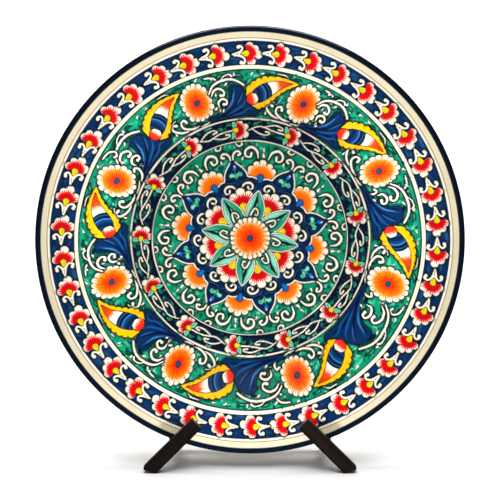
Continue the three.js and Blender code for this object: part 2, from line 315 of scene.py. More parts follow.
def lined(c, points, width, colour, grow=0.3, raised=0.5):
    """A brush stroke with a dark line round it."""
    c.stroke(points, width, BLACK, grow=grow)
    c.stroke(points, width, colour, raised=raised)


def dabs(c, inner, outer, count, tones, size=1.5):
    """Small round touches of the brush, seeded, that mottle a ground."""
    for i in range(count):
        a = c.uniform(0, 2 * math.pi)
        r = math.sqrt(c.uniform(inner**2, outer**2))
        half = size * c.uniform(0.45, 1.0)
        bent = np.multiply([(0, 0), (1.0, 0.3), (1.7, 0)], size)
        touch(c, r, a, bent, [0.3 * half, half, 0.3 * half], tones[i % len(tones)], 0.5, 0.8)


def circle_line(c, radius, half, colour, raised=0.0):
    """A thin ring, a little uneven, as a banding wheel leaves it."""
    area, x, y = c.window(np.full(2, -radius - 2.0), np.full(2, radius + 2.0))
    a = np.arctan2(x, y)
    wander = 0.12 * np.sin(3 * a + radius) + 0.06 * np.sin(11 * a + 2 * radius)
    gap = np.abs(np.hypot(x, y) - radius - wander) - half
    c.lay(area, np.clip(0.5 - gap / EDGE, 0, 1), colour, raised)


def disc(c, inner, outer, colour, raised=0.0):
    """A ring from its inner to its outer radius."""
    circle_line(c, (inner + outer) / 2, (outer - inner) / 2, colour, raised)


def paint_rim_lines(c):
    """The rim's blue edge and cream bands."""
    area, x, y = c.window(np.full(2, -c.half), np.full(2, c.half))
    r = np.hypot(x, y)
    c.lay(area, (r >= 0).astype(np.float32), EDGE_BLUE)
    c.lay(area, np.clip(0.5 - (r - 146.3) / 0.3, 0, 1), BLACK)
    c.lay(area, np.clip(0.5 - (r - 145.9) / 0.3, 0, 1), WARM_CREAM, 0.1)
    circle_line(c, 141.5, 0.22, BROWN)
    disc(c, 139.4, 141.1, CREAM, 0.5)


def rim_flower(c, angle, radius, size):
    """One red flower of the rim, with its calyx, stem and two volutes. It leads clockwise."""
    jitter = c.uniform(-1, 1, 8)
    place = ring_place(angle, radius, 2.5 * jitter[0], size)
    up = np.array([(-12.6, 0.5), (-9.8, 0.9), (-7.6, 1.9), (-6.4, 3.8), (-7.6, 5.4), (-9.2, 5.0)])
    down = np.array([(-12.6, -0.5), (-9.2, -1.0), (-6.4, -2.2), (-5.0, -4.4), (-6.0, -6.6), (-7.9, -6.0)])
    up = up + 0.3 * jitter[1:3]
    down = down + 0.3 * jitter[3:5]
    width = [0.55, 0.85, 0.9, 0.75, 0.85, 1.45]
    curls(c, place, [
        ([(-13.6, 0), (-11, 0.1), (-7, 0)], [0.75, 0.75, 0.6]),
        (down, width),
        (up, width),
    ], 0.55)
    c.stroke(place([(-12.6, 0.1), (-9.4, 0.1)]), [0.1, 0.3], BLACK, soft=0.2, alpha=0.8)
    calyx = loop([(-7.6, 0), (-5.2, 1.7), (-3.0, 1.9), (-2.0, 0), (-3.0, -1.9), (-5.2, -1.7)])
    origin = place([(-3.6, 0)])[0]
    lobes = [(72 + 4 * jitter[5], 8.3 * size, 27), (30 + 3 * jitter[6], 9.2 * size, 22),
             (-9 + 4 * jitter[7], 11.2 * size, 21), (-58 + 4 * jitter[6], 9.6 * size, 28)]
    reds = [DARK_RED, RED, RED, (0.88, 0.12, 0.12)]
    bloom(c, origin, 2.5 * jitter[0] - angle, lobes, 0.50, 0.80, reds, base=0.56, line=0.75)
    c.shape(place(calyx), YELLOW, line=0.35, raised=0.8)
    c.stroke(place([(-6.0, -0.4), (-3.2, -0.7)]), [0.3, 0.5], OCHRE, soft=0.3, alpha=0.6)


def paint_flower_band(c, inner=122.9, outer=139.4, count=38, first=-1.0):
    """The rim's navy band and its red flowers, which all lead clockwise."""
    ground(c, inner, outer, NAVY, [DEEP_NAVY, NAVY, STEEL_BLUE, (0.09, 0.26, 0.46)], 900, 12, 1.5)
    circle_line(c, outer, 0.3, BLACK)
    middle = (inner + outer) / 2
    for i in range(count):
        for side in (-1, 1):  # dark touches that set the flower off its ground
            shade = ring_place(first + i * 360 / count, middle)
            c.stroke(shade([(-7, 5.6 * side), (0, 7.4 * side), (6, 6.2 * side)]), [0.3, 0.9, 0.3],
                     DEEP_NAVY, soft=0.6, alpha=0.8)
    for i in range(count):
        angle = first + i * 360 / count + c.uniform(-0.35, 0.35)
        rim_flower(c, angle + 1.2, middle + c.uniform(-0.3, 0.3), 0.98)
    circle_line(c, inner, 0.35, BLACK)
    disc(c, 119.9, inner - 0.2, CREAM, 0.5)
    circle_line(c, 121.4, 0.25, WARM_CREAM)
    circle_line(c, 119.9, 0.3, BLACK)


DAISY_TONES = [(0.96, 0.30, 0.02), (0.98, 0.38, 0.02), (1.0, 0.44, 0.02), (1.0, 0.48, 0.03),
               (1.0, 0.53, 0.05)]
HALF_DAISY_TONES = [(1.0, 0.36, 0.02), RED_ORANGE, (1.0, 0.40, 0.02), (1.0, 0.48, 0.03), (1.0, 0.60, 0.12)]


def daisy(c, centre, radius, petals, heading=0.0, eye=1.9, squash=1.0):
    """An orange daisy with a blue eye, longer along its heading."""
    step = 360 / petals
    wobble = c.uniform(-0.1, 0.1, petals)
    lobes = [(i * step + 6 * w - 180, radius * (1 + 0.5 * w), step * 0.54) for i, w in enumerate(wobble)]
    bloom(c, centre, heading, lobes, 0.62, 0.95, DAISY_TONES, base=0.76, squash=squash)
    for i in range(2 * petals):  # darker strokes out of the middle
        a = (i + c.uniform(-0.3, 0.3)) * step / 2
        out = np.array([math.cos(math.radians(a)), squash * math.sin(math.radians(a))])
        out = turn_to(out, heading)[0]
        c.stroke([centre + 0.2 * radius * out, centre + c.uniform(0.5, 0.74) * radius * out],
                 [0.7, 0.15], (0.93, 0.17, 0.01), soft=0.4, alpha=0.6)
    if eye:
        ellipse = [(eye * 0.8 * math.cos(t), eye * math.sin(t)) for t in np.linspace(0, 6.0, 12)]
        spot = centre + turn_to(ellipse, -30)
        c.shape(spot, (0.06, 0.30, 0.46), line=0.45)


def half_daisy(c, centre, heading, radius):
    """A half daisy that fans out of the notch between two points of the star."""
    lobes = [(27 * i + c.uniform(-2, 2), radius * (1 - 0.055 * abs(i)), 14) for i in range(-3, 4)]
    bloom(c, centre, heading, lobes, 0.60, 0.92, HALF_DAISY_TONES, base=0.8)


def fringe_paint(c, window, origin, axis, start, stop, near, far):
    """Ragged strokes inside a shape: near colour up to about start, rays as far as stop."""
    area, x, y, mask = window
    u = (x - origin[0]) * axis[0] + (y - origin[1]) * axis[1]
    v = -(x - origin[0]) * axis[1] + (y - origin[1]) * axis[0]
    ragged = rays(np.clip((v + 8) / 16, 0, 0.999), 18, c.random)
    tip = start + (stop - start) * ragged
    c.lay(area, mask * np.clip(0.5 - (u - tip) / 0.3, 0, 1), near, 0.6)
    deep = np.clip(1 - u / max(start, 0.1), 0, 1)
    c.lay(area, mask * deep * 0.8, far)


# The paisley leaf: its half widths at shares of its length
LEAF_LONG = 33.5
LEAF_OUTER = ((0, 7.0), (0.1, 8.9), (0.26, 10.2), (0.44, 10.0), (0.6, 8.6), (0.76, 6.0), (0.9, 2.8),
              (1, 0))
LEAF_INNER = ((0, -6.6), (0.1, -7.8), (0.24, -7.6), (0.4, -5.6), (0.58, -3.2), (0.76, -1.4), (0.9, -0.6),
              (1, 0))
LEAF_BASE = ((0, -6.6), (-1.8, -4.0), (-1.2, 0), (-1.8, 4.0), (0, 7.0))
EYE_OUTER = ((0, 3.6), (0.16, 5.6), (0.36, 6.6), (0.6, 6.2), (0.8, 4.4), (1, 1.2))
EYE_INNER = ((0, -3.6), (0.16, -4.8), (0.36, -4.0), (0.6, -1.6), (0.8, 0.3), (1, 1.2))


def paisley(c, angle, radius, turn, size):
    """The yellow scalloped leaf with its striped eye. Its base is at the local origin, its tip at +x."""
    place = ring_place(angle, radius, turn, size)
    t = np.linspace(0, 1, 90)
    scallop = 1.5 * np.abs(np.sin(t * math.pi * 8.0)) ** 0.6 * np.clip(1.6 - 1.5 * t, 0, 1)
    outer = np.stack([LEAF_LONG * t, np.interp(t, *np.array(LEAF_OUTER).T) + scallop], 1)
    inner = np.stack([LEAF_LONG * t, np.interp(t, *np.array(LEAF_INNER).T) - scallop], 1)
    outline = np.vstack([outer, inner[::-1], curve(LEAF_BASE)])
    c.stroke(place(np.vstack([outline, outline[:1]])), 0.2, SHADE, grow=1.3, soft=1.2, alpha=0.5)
    c.shape(place(outline), (0.95, 0.74, 0.04), line=0.6, raised=0.8)
    for i in range(40):  # ochre strokes in the yellow, one from each scallop
        side = outer if i % 2 else inner
        at = side[int(c.uniform(0.02, 0.9) * 89)]
        towards = 1 if i % 2 else -1
        c.stroke(place([at - (0, 0.5 * towards), at + (1.2, -2.6 * towards)]), [0.25, 0.4, 0.1], OCHRE,
                 soft=0.25, alpha=0.75)
    start, stop = 1.5, 29.5
    u = np.linspace(0, 1, 24)
    eye = np.vstack([np.stack([start + (stop - start) * u, np.interp(u, *np.array(EYE_OUTER).T)], 1),
                     np.stack([start + (stop - start) * u, np.interp(u, *np.array(EYE_INNER).T)], 1)[::-1]])
    area, x, y, mask = c.shape(place(eye), CREAM, line=0.5, raised=0.7)
    tip = place([(stop, 1.2)])[0]
    back = place([(8, 1.5)])[0] - tip
    back = back / np.hypot(*back)
    fringe_paint(c, (area, x, y, mask), tip, back, 8.6 * size, 13.6 * size, (1.0, 0.30, 0.06),
                 (0.90, 0.06, 0.03))
    centre = place([(8.6, 1.2)])[0]
    axis = -back
    u = ((x - centre[0]) * axis[0] + (y - centre[1]) * axis[1]) / size
    v = (-(x - centre[0]) * axis[1] + (y - centre[1]) * axis[0]) / size
    bow = u + 0.05 * v * v
    blue = np.clip(0.5 - (np.abs(bow - 0.6) - 6.2) / EDGE / 3, 0, 1) * mask
    c.lay(area, blue, (0.02, 0.09, 0.20), 0.5)
    for at, half, tone in (
        (0.8, 2.4, (0.02, 0.22, 0.44)), (2.4, 0.45, (0.24, 0.48, 0.68)), (-0.8, 0.5, (0.02, 0.10, 0.24)),
        (-3.6, 0.8, (0.03, 0.22, 0.42)), (5.4, 0.45, (0.06, 0.30, 0.52)),
    ):
        c.lay(area, blue * np.clip((half - np.abs(bow - at)) / 0.35 + 0.5, 0, 1), tone, 0.3)
    c.lay(area, mask * np.clip(0.5 - (np.abs(bow - 7.0) - 0.3) / EDGE / 2, 0, 1), BLACK)
    cap = loop([(-3.4, -0.6), (-2.0, 3.0), (1.2, 4.2), (4.2, 2.6), (4.6, 0), (4.2, -2.4), (1.2, -4.0),
                (-1.8, -3.4)])
    window = c.shape(place(cap), CREAM, line=0.5, raised=0.8)
    origin = place([(-3.8, -0.4)])[0]
    fringe_paint(c, window, origin, axis, 4.2 * size, 7.4 * size, (1.0, 0.24, 0.10), (0.86, 0.05, 0.05))


def small_leaf(c, place, points, width, colour, shine=None):
    """A leaf in one stroke, thick in the middle, with a paler lick along it."""
    p = place(curve(points))
    c.stroke(p, [0.2, width, width * 0.9, 0.1], BLACK, grow=0.3)
    c.stroke(p, [0.1, width, width * 0.85, 0.05], colour, raised=0.4)
    if shine is not None:
        c.stroke(p[len(p) // 5: -len(p) // 4], [0.1, width * 0.3, 0.1], shine, soft=0.3, alpha=0.9)


def drop(c, place, x, y, turn, size):
    """A small comma of cream paint."""
    tail = turn_to([(0, 0), (1.4, 0.5), (2.6, 0.4)], turn) * size
    p = place(tail + (x, y))
    lined(c, p, [0.85 * size, 0.5 * size, 0.1], CREAM, raised=1.0)


SCROLL = [0.3, 0.85, 0.95, 0.85, 0.7, 1.15]


def green_unit(c, angle, radius, span):
    """One of the eight units of the green band. Local x runs clockwise from the daisy's middle."""
    j = c.uniform(-1, 1, 12)
    flat = ring_place(angle, radius)
    near = 34.0  # the unit's leading part keeps its size, the rest takes up an uneven spacing
    stretch = (math.radians(span) * radius - near) / (math.radians(45) * radius - near)

    def place(points):
        p = np.array(points, float).reshape(-1, 2)
        far = p[:, 0] < -near
        p[far, 0] = -near + (p[far, 0] + near) * stretch
        return flat(p)

    # small dark leaves and mint licks over the ground
    for x, y, turn, colour in (
        (-62, 12, 20, DARK_GREEN), (-55, 8, -30, DEEP_NAVY), (-66, 3, 70, DARK_GREEN),
        (-58, -1, 200, NAVY), (-64, -7, -20, DARK_GREEN), (-50, 12.5, 10, DARK_GREEN),
        (-40, -10, 15, DEEP_NAVY), (-33, -12, 0, DARK_GREEN), (-24, -9, 25, NAVY),
        (-17, -12.5, -10, DARK_GREEN), (-12, 12.5, 30, DARK_GREEN), (12, 12.5, 10, DARK_GREEN),
        (15, -11, 20, DEEP_NAVY), (5, -15, 5, DARK_GREEN), (-44, 3, 90, DARK_GREEN),
        (-29, 13.2, -8, DARK_GREEN), (-8, -14.5, 0, NAVY),
    ):
        bent = turn_to([(0, 0), (2.2, 0.9), (4.6, 0.2), (6.2, -1.2)], turn + 14 * c.uniform(-1, 1))
        small_leaf(c, place, bent + (x, y), 1.05, colour, MINT if c.random.random() < 0.55 else None)
    # the blue trumpet that the leaf grows from
    outer_side = [(-75, -13.4), (-67, -12.4), (-60.0, -9.4), (-55.6, -4.6), (-54.6, 0.6), (-54.4, 4.6),
                  (-51.0, 6.4), (-46.8, 5.4), (-43.6, 2.6)]
    inner_side = [(-40.4, -3.6), (-37.6, -8.0), (-33.6, -9.6), (-31.2, -12.4), (-34.6, -15.2), (-44, -15.4),
                  (-54, -16.0), (-64, -16.4), (-75, -16.0)]
    bell = np.vstack([curve(outer_side), curve(inner_side)])
    c.stroke(place(np.vstack([bell, bell[:1]])), 0.2, SHADE, grow=1.3, soft=1.2, alpha=0.5)
    c.shape(place(bell), NAVY, line=0.5, raised=0.5)
    for points, half, tone in (
        ([(-72, -15.0), (-62, -13.6), (-55, -12.6), (-46, -11.8), (-38, -12.6)], 1.3, (0.01, 0.07, 0.20)),
        ([(-68, -13.4), (-60, -10.6), (-54.4, -6.4), (-51.6, 0), (-50.4, 4.2)], 1.0, (0.04, 0.30, 0.56)),
        ([(-62, -12.8), (-54, -9.6), (-48.4, -4.6), (-45.6, 1.6)], 1.2, (0.02, 0.10, 0.26)),
        ([(-60, -13.8), (-51, -11.2), (-44.6, -7.6), (-42.0, -4.0)], 0.8, (0.05, 0.34, 0.60)),
        ([(-56, -14.8), (-46, -13.4), (-40.0, -10.4), (-36.0, -10.8)], 0.7, (0.06, 0.33, 0.58)),
        ([(-52.8, 4.6), (-53.0, 0.6), (-54.0, -3.4)], 0.5, (0.01, 0.05, 0.14)),
        ([(-58, -9.4), (-53.4, -4.8), (-51.6, 1.0)], 0.3, (0.35, 0.60, 0.76)),
        ([(-50, -7.6), (-46.6, -3.2), (-44.8, 0.4)], 0.3, (0.22, 0.48, 0.70)),
        ([(-70, -14.2), (-60, -11.8), (-52, -8.0)], 0.3, BLACK),
    ):
        c.stroke(place(curve(points)), [0.1, half, half, 0.2], tone, soft=0.4, alpha=0.9)
    # vines
    curls(c, place, [
        ([(-70, 3.6), (-66.0, 8.4), (-60, 10.8), (-53.0, 11.2), (-48, 9.4), (-43.6, 6.4)],
         [0.5, 0.85, 0.95, 0.85, 0.7]),
        ([(-68.6, 1.6), (-66.0, 5.0), (-62.0, 5.8), (-58.8, 3.4), (-59.2, 0.6), (-61.6, 0.8)], SCROLL),
        ([(-64.6, -7.4), (-64.6, -3.8), (-61.0, -1.8), (-57.8, -3.6), (-58.4, -6.0), (-60.6, -5.8)], SCROLL),
        ([(-59.6, 11.2), (-57.0, 13.8), (-53.4, 14.6), (-51.6, 13.2)], [0.2, 0.5, 0.5, 0.8]),
    ])
    curls(c, place, [
        ([(-5, -15.6), (-12, -15.2), (-17.6, -12.0), (-17.6, -8.0), (-14.6, -7.0), (-13.6, -9.2)], SCROLL),
        ([(-15, -15.6), (-21, -14.0), (-25.6, -9.6), (-24.0, -6.6), (-21.4, -7.6)], SCROLL),
        ([(-28, -9.4), (-24, -5.6), (-19.6, -4.2)], [0.3, 0.6, 0.2]),
    ])
    curls(c, place, [
        ([(-22, 15.4), (-16.8, 15.4), (-13.4, 12.9)], [0.2, 0.55, 0.2]),
        ([(7, -15.8), (12.0, -14.0), (14.6, -10.0), (13.4, -7.2), (11.2, -8.0)], SCROLL),
        ([(9, 15.0), (14.4, 13.8), (17.0, 10.2), (15.4, 8.0), (13.6, 8.8)], [0.4, 0.7, 0.7, 0.6, 0.85]),
        ([(-4, -16.4), (2, -16.0), (6.5, -14.4)], [0.3, 0.6, 0.3]),
    ])
    for x, y, turn in (
        (-66, 13.4, 20), (-38, 14.0, 20), (-30, 14.6, 160), (-26, -13.6, 60), (-50, 13.8, 90),
        (13.5, 1.5, 80), (4, 15.4, 10), (-56.0, 8.4, 200), (-62, -10.6, 30),
    ):
        drop(c, place, x + 0.6 * c.uniform(-1, 1), y, turn + 20 * c.uniform(-1, 1), 0.8)
    at = ring_angle(angle, radius)
    paisley(c, at(-38.0) + 0.4 * j[0], radius - 3.6 + 0.4 * j[1], 26.5 + 3 * j[2], 0.98)
    middle = place([(0.4 * j[3], 0.4 * j[4])])[0]
    daisy(c, middle, 14.2 + 0.5 * j[5], 17, 90 - angle + 7 * j[6], squash=0.82 + 0.03 * j[7])


DAISY_AT = (-21, 21.5, 62, 108, 161, 210, 253, 294)  # hand spaced, so a little uneven


def paint_green_band(c, inner=85.3, outer=119.7):
    """The wide green band on the slope of the well."""
    washes = [(0.03, 0.62, 0.45), (0.20, 0.72, 0.55), MINT, DARK_GREEN, (0.02, 0.42, 0.32),
              (0.01, 0.20, 0.18)]
    dots = [(0.0, 0.24, 0.20), (0.36, 0.80, 0.64), (0.01, 0.34, 0.28), (0.10, 0.64, 0.48), (0.0, 0.16, 0.20)]
    ground(c, inner, outer, GREEN, washes, 1500, 9, 1.6)
    dabs(c, inner + 1, outer - 1, 900, dots, 1.5)
    for count, bent, width, tone, soft, alpha in (
        (420, [(0, 0), (1.8, 0.5), (3.4, 0)], [0.2, 0.7, 0.1], DARK_GREEN, 0.4, 0.7),
        (300, [(0, 0), (2.2, 0.6), (4, 0)], [0.2, 0.5, 0.1], (0.62, 0.93, 0.80), 0.3, 0.75),
    ):
        for _ in range(count):
            a = c.uniform(0, 2 * math.pi)
            r = c.uniform(inner + 1, outer - 1)
            touch(c, r, a, bent, width, tone, soft, alpha)
    middle = (inner + outer) / 2
    for i, at in enumerate(DAISY_AT):
        green_unit(c, at, middle, (at - DAISY_AT[i - 1]) % 360)
    circle_line(c, outer, 0.3, BLACK)
    circle_line(c, inner, 0.35, BLACK)


def small_flower(c, angle, radius, turn, size):
    """A red flower of the inner band with two mint sepals."""
    place = ring_place(angle, radius, turn, size)
    for side in (-1, 1):
        sepal = curve([(-1.6, 1.0 * side), (-3.2, 2.8 * side), (-4.0, 5.0 * side)])
        lined(c, place(sepal), [0.7, 1.7, 0.9], (0.50, 0.84, 0.70), raised=0.6)
        c.stroke(place(sepal[1:-1]), [0.2, 0.5, 0.2], (0.10, 0.55, 0.42), soft=0.3, alpha=0.8)
    origin = place([(-2.0, 0)])[0]
    lobes = [(68, 6.6 * size, 27), (24, 8.0 * size, 22), (-20, 8.4 * size, 22), (-66, 7.2 * size, 25)]
    reds = [DARK_RED, DARK_RED, RED, (0.86, 0.10, 0.10)]
    bloom(c, origin, turn - angle, lobes, 0.50, 0.82, reds, base=0.56, line=0.6)
    calyx = loop([(-4.6, 0), (-3.0, 1.3), (-1.0, 1.1), (-1.0, -1.1), (-3.0, -1.3)])
    c.shape(place(calyx), YELLOW, line=0.28, raised=0.8)


def paint_inner_band(c, inner=70.8, outer=83.6, count=13, first=-5.0):
    """The narrow navy band round the medallion, with a small flower to every span."""
    disc(c, outer - 0.1, 85.1, CREAM, 0.5)
    washes = [DEEP_NAVY, NAVY, (0.02, 0.05, 0.13), (0.07, 0.22, 0.42)]
    dots = [(0.02, 0.40, 0.32), (0.01, 0.10, 0.22), (0.05, 0.52, 0.40), (0.01, 0.26, 0.26),
            (0.24, 0.70, 0.56)]
    ground(c, inner - 0.6, outer, DEEP_NAVY, washes, 420, 9, 1.4)
    dabs(c, inner, outer - 0.4, 330, dots, 1.5)
    middle = (inner + outer) / 2
    step = 360 / count
    span = math.radians(step) * middle
    for i in range(count):
        angle = first + i * step + c.uniform(-0.7, 0.7)
        place = ring_place(angle, middle)
        side = 1 if i % 2 else -1
        for x, y, turn, colour in (
            (-0.60, -4.2, -12, MINT), (-0.40, -3.0, 30, (0.20, 0.68, 0.52)),
            (-0.50, 4.4, 14, (0.24, 0.72, 0.56)), (-0.26, 3.4, -24, MINT),
            (-0.74, 2.2, 28, (0.16, 0.62, 0.48)), (-0.24, -3.8, 0, GREEN),
        ):
            leaf = turn_to([(0, 0), (1.9, 1.0), (4.4, 0.2)], (turn + 10 * c.uniform(-1, 1)) * side)
            leaf = curve(leaf) + (span * x, y * side)
            lined(c, place(leaf), [0.2, 1.2, 0.1], colour)
            c.stroke(place(leaf[1:-2]), [0.1, 0.3, 0.1], (0.02, 0.30, 0.26), soft=0.2, alpha=0.8)
        vine = [(6.5 / span - 1, -0.6), (-0.62, 2.4), (-0.36, 0.4), (-3.4 / span, 0)]
        low = [(-0.78, 0.6), (-0.62, -2.6), (-0.48, -3.2), (-0.42, -1.4), (-0.50, -0.8)]
        high = [(-0.54, 2.2), (-0.36, 4.4), (-0.22, 4.0), (-0.20, 2.4), (-0.27, 2.2)]
        width = [0.3, 0.6, 0.6, 0.5, 0.75]
        scrolls = ((vine, [0.4, 0.6, 0.6, 0.5]), (low, width), (high, [0.3, 0.55, 0.6, 0.5, 0.75]))
        curls(c, place, [(np.multiply(points, (span, side)), half) for points, half in scrolls], 0.4)
        small_flower(c, angle, middle + 0.3 * side, 10 * side, 1.12)
    circle_line(c, outer, 0.35, BLACK)
    circle_line(c, inner - 0.9, 0.5, BLACK)


# The navy star: eight spade points with a pair of round lobes under each, a sector each way.
STAR_TIP = 58.8
SPADE = ((0, STAR_TIP), (0.5, 56.9), (1.3, 55.0), (2.6, 53.3), (4.6, 51.5), (6.8, 49.4), (8.8, 46.9),
         (10.2, 43.8), (11.0, 40.0), (22.5, 20))
LOBE_AT, LOBE_TURN, LOBE_RADIUS = 36.2, 13.2, 6.9


def star_radius(off):
    """Distance of the star's outline from the middle, off degrees away from a point's axis."""
    spade = np.interp(off, *np.array(SPADE).T)
    turn = math.radians(off - LOBE_TURN)
    chord = LOBE_RADIUS**2 - (LOBE_AT * math.sin(turn)) ** 2
    lobe = LOBE_AT * math.cos(turn) + math.sqrt(chord) if chord > 0 else 0
    return max(spade, lobe)


def star_outline(first):
    """The star's outline, with its first point at a clockwise angle."""
    points = []
    for k in range(8):
        for a in np.arange(-22.5, 22.5, 0.5):
            r = star_radius(abs(a))
            points.append(polar(r, math.radians(first + 45 * k + a)))
    return np.array(points)


def mint_petal(c, angle, base, tip, half):
    """A pointed petal of the central flower, with a cream edge, a dark fold and a curl."""
    long = tip - base
    t = np.linspace(0, 1, 14)
    width = half * np.sin(math.pi * (0.16 + 0.84 * t)) ** 0.85 * (1 - 0.12 * t)
    right = np.stack([width, base + long * t], 1)
    outline = np.vstack([right * (-1, 1), right[::-1]])

    put = turned(angle)
    c.shape(put(outline), CREAM, line=1.35, line_colour=BLACK)
    c.shape(put(outline), CREAM, line=1.0, line_colour=CREAM)
    area, x, y, mask = c.shape(put(outline), (0.22, 0.70, 0.54), line=0.28, raised=0.5)
    middle = put([(0, base)])[0]
    out = put([(0, base + 1)])[0] - middle
    across = (x - middle[0]) * out[1] - (y - middle[1]) * out[0]
    side = np.clip(0.5 + across / (1.3 * half), 0, 1)[..., None]
    c.lay(area, mask * 0.8, mixed((0.66, 0.92, 0.80), (0.10, 0.58, 0.42), side), 0.5)
    for i in range(14):
        x0 = c.uniform(-0.75, 0.75) * half * 0.8
        y0 = base + c.uniform(0.05, 0.5) * long
        tone = (DARK_GREEN, (0.55, 0.90, 0.76), GREEN)[i % 3]
        lick = put([(x0, y0), (x0 * 0.75, y0 + 3), (x0 * 0.5, y0 + 5.5)])
        c.stroke(lick, [0.15, 0.5, 0.1], tone, soft=0.4, alpha=0.55)
    fold = curve([(-0.3 * half, base + 0.42 * long), (-0.05 * half, base + 0.68 * long), (0, tip - 1.2)])
    c.stroke(put(fold), [0.3, 1.1, 0.3], (0.01, 0.10, 0.16), soft=0.25)
    c.stroke(put([(0.34 * half, base + 0.3 * long), (0.26 * half, base + 0.55 * long), (0, tip - 2.0)]),
             [0.1, 0.3, 0.1], BLACK, soft=0.2, alpha=0.8)
    hook = [(-0.20, 0.02), (-0.42, 0.22), (-0.10, 0.46), (0.34, 0.40), (0.30, 0.25), (0.08, 0.27)]
    hook = np.multiply(hook, (half, long)) + (0, base)
    curls(c, put, [(hook, [0.4, 0.7, 0.8, 0.65, 0.5, 0.7])])


def star_sector(c, angle):
    """What fills one point of the star: two scrolls, a mint leaf and a blue bud."""
    put = turned(angle)
    for side in (-1, 1):
        shadow = curve(mirror([(2.6, 37.6), (6.4, 40.4), (10.8, 38.4), (11.6, 34.6)], side))
        c.stroke(put(shadow), [0.4, 1.1, 1.2, 0.4], (0.01, 0.03, 0.09), soft=0.4, alpha=0.9)
        fold = curve(mirror([(11.8, 39.2), (7.6, 42.2), (3.0, 41.6), (0.6, 43.0)], side))
        c.stroke(put(fold), [0.3, 0.7, 0.6, 0.2], (0.02, 0.05, 0.13), soft=0.3)
        c.stroke(put(fold * (1, 0.975)), [0.1, 0.45, 0.1], (0.16, 0.38, 0.62), soft=0.3, alpha=0.85)
        swirl = [(2.0, 35.6), (4.0, 38.2), (7.4, 38.9), (9.9, 37.0), (9.6, 34.4), (7.2, 34.0), (6.6, 35.8)]
        curls(c, put, [(mirror(swirl, side), [0.35, 0.8, 0.95, 0.95, 0.8, 0.6, 0.95])])
        low = curve(mirror([(12.2, 35.4), (11.2, 32.0), (9.0, 30.4)], side))
        c.stroke(put(low), [0.2, 0.9, 0.4], (0.10, 0.30, 0.56), soft=0.5, alpha=0.7)
    leaf = loop([(0, 42.8), (-1.7, 44.8), (-4.2, 44.6), (-4.6, 46.6), (-2.4, 47.6), (-0.8, 46.4), (0, 48.4),
                 (0.8, 46.4), (2.4, 47.6), (4.6, 46.6), (4.2, 44.6), (1.7, 44.8)])
    c.shape(put(leaf), (0.36, 0.80, 0.64), line=0.3, raised=0.6)
    c.stroke(put([(0, 43.8), (0, 47.4)]), [0.5, 0.2], DARK_GREEN, soft=0.3, alpha=0.7)
    c.stroke(put([(-3.4, 46.0), (-1.2, 45.6)]), [0.6, 0.2], (0.68, 0.94, 0.82), soft=0.3, alpha=0.8)
    c.stroke(put([(3.4, 46.0), (2.0, 45.4)]), [0.5, 0.2], DARK_GREEN, soft=0.3, alpha=0.6)
    lined(c, put([(0, 50.2), (0, 53.2)]), [1.35, 1.2, 0.3], (0.06, 0.42, 0.76), 0.28)
    c.stroke(put([(0.5, 52.4), (0.9, 51.0)]), [0.5, 0.2], (0.85, 0.92, 0.92), soft=0.2)


def tip_volutes(c, angle):
    """The pair of cream curls that the star's outline ends in."""
    curl = [(1.0, 57.0), (1.3, 59.6), (3.2, 61.9), (5.9, 62.0), (7.0, 60.0), (5.2, 59.4)]
    curls(c, turned(angle), [(mirror(curl, side), [0.7, 0.8, 0.95, 0.9, 0.7, 1.0]) for side in (-1, 1)])


def red_fan(c, angle, radius, size):
    """A red flower of the star, yellow base inward."""
    origin = turn_to([(0, radius)], -angle)[0]
    lobes = [(-56, 9.4 * size, 18), (-33, 12.4 * size, 19), (1, 14.0 * size, 19), (35, 12.6 * size, 19),
             (58, 9.4 * size, 17)]
    bloom(c, origin, 90 - angle, lobes, 0.54, 0.84, [DARK_RED, RED, RED, (0.90, 0.10, 0.08)], base=0.5)

    put = turned(angle)
    base = loop([(0, radius - 3.6), (2.1, radius - 0.6), (2.2, radius + 2.2), (0, radius + 3.2),
                 (-2.2, radius + 2.2), (-2.1, radius - 0.6)])
    c.shape(put(base), YELLOW, line=0.32, raised=0.8)
    c.stroke(put([(0.7, radius - 1.0), (0.9, radius + 2.0)]), [0.3, 0.5], OCHRE, soft=0.3, alpha=0.6)


def green_cell(c, angle):
    """Scrolls and drops in the green round one half daisy, out to the medallion's edge."""
    put = turned(angle)
    for side in (-1, 1):
        for i in range(9):
            x0, y0 = side * c.uniform(4, 21), c.uniform(49, 66)
            tone = (DARK_GREEN, (0.01, 0.20, 0.24), MINT)[i % 3]
            c.stroke(put(curve([(x0, y0), (x0 + 1.2, y0 + 0.8), (x0 + 2.4, y0)])), [0.3, 1.2, 0.2],
                     tone, soft=0.7, alpha=0.75)
        near = [(3.6, 57.0), (5.4, 61.9), (9.8, 64.0), (13.4, 61.0), (12.6, 57.2), (9.4, 57.0), (9.0, 59.6)]
        near = mirror(near, side)
        far = mirror([(22.0, 65.6), (19.4, 63.2), (16.6, 64.4), (17.6, 66.4)], side)
        under = put(curve(near) * (1.0, 0.99))
        c.stroke(under, [0.8, 1.5, 1.5, 1.0], (0.01, 0.18, 0.15), soft=0.6, alpha=0.9)
        curls(c, put, [(near, [0.4, 0.95, 1.15, 1.1, 0.95, 0.75, 1.1])])
        curls(c, put, [(far, [0.3, 0.6, 0.7, 0.8])])
        drop(c, put, side * 14.6, 54.6, 60, 0.85)
    drop(c, put, 0, 58.6, 90, 1.15)
    drop(c, put, -0.5, 63.0, 90, 0.85)


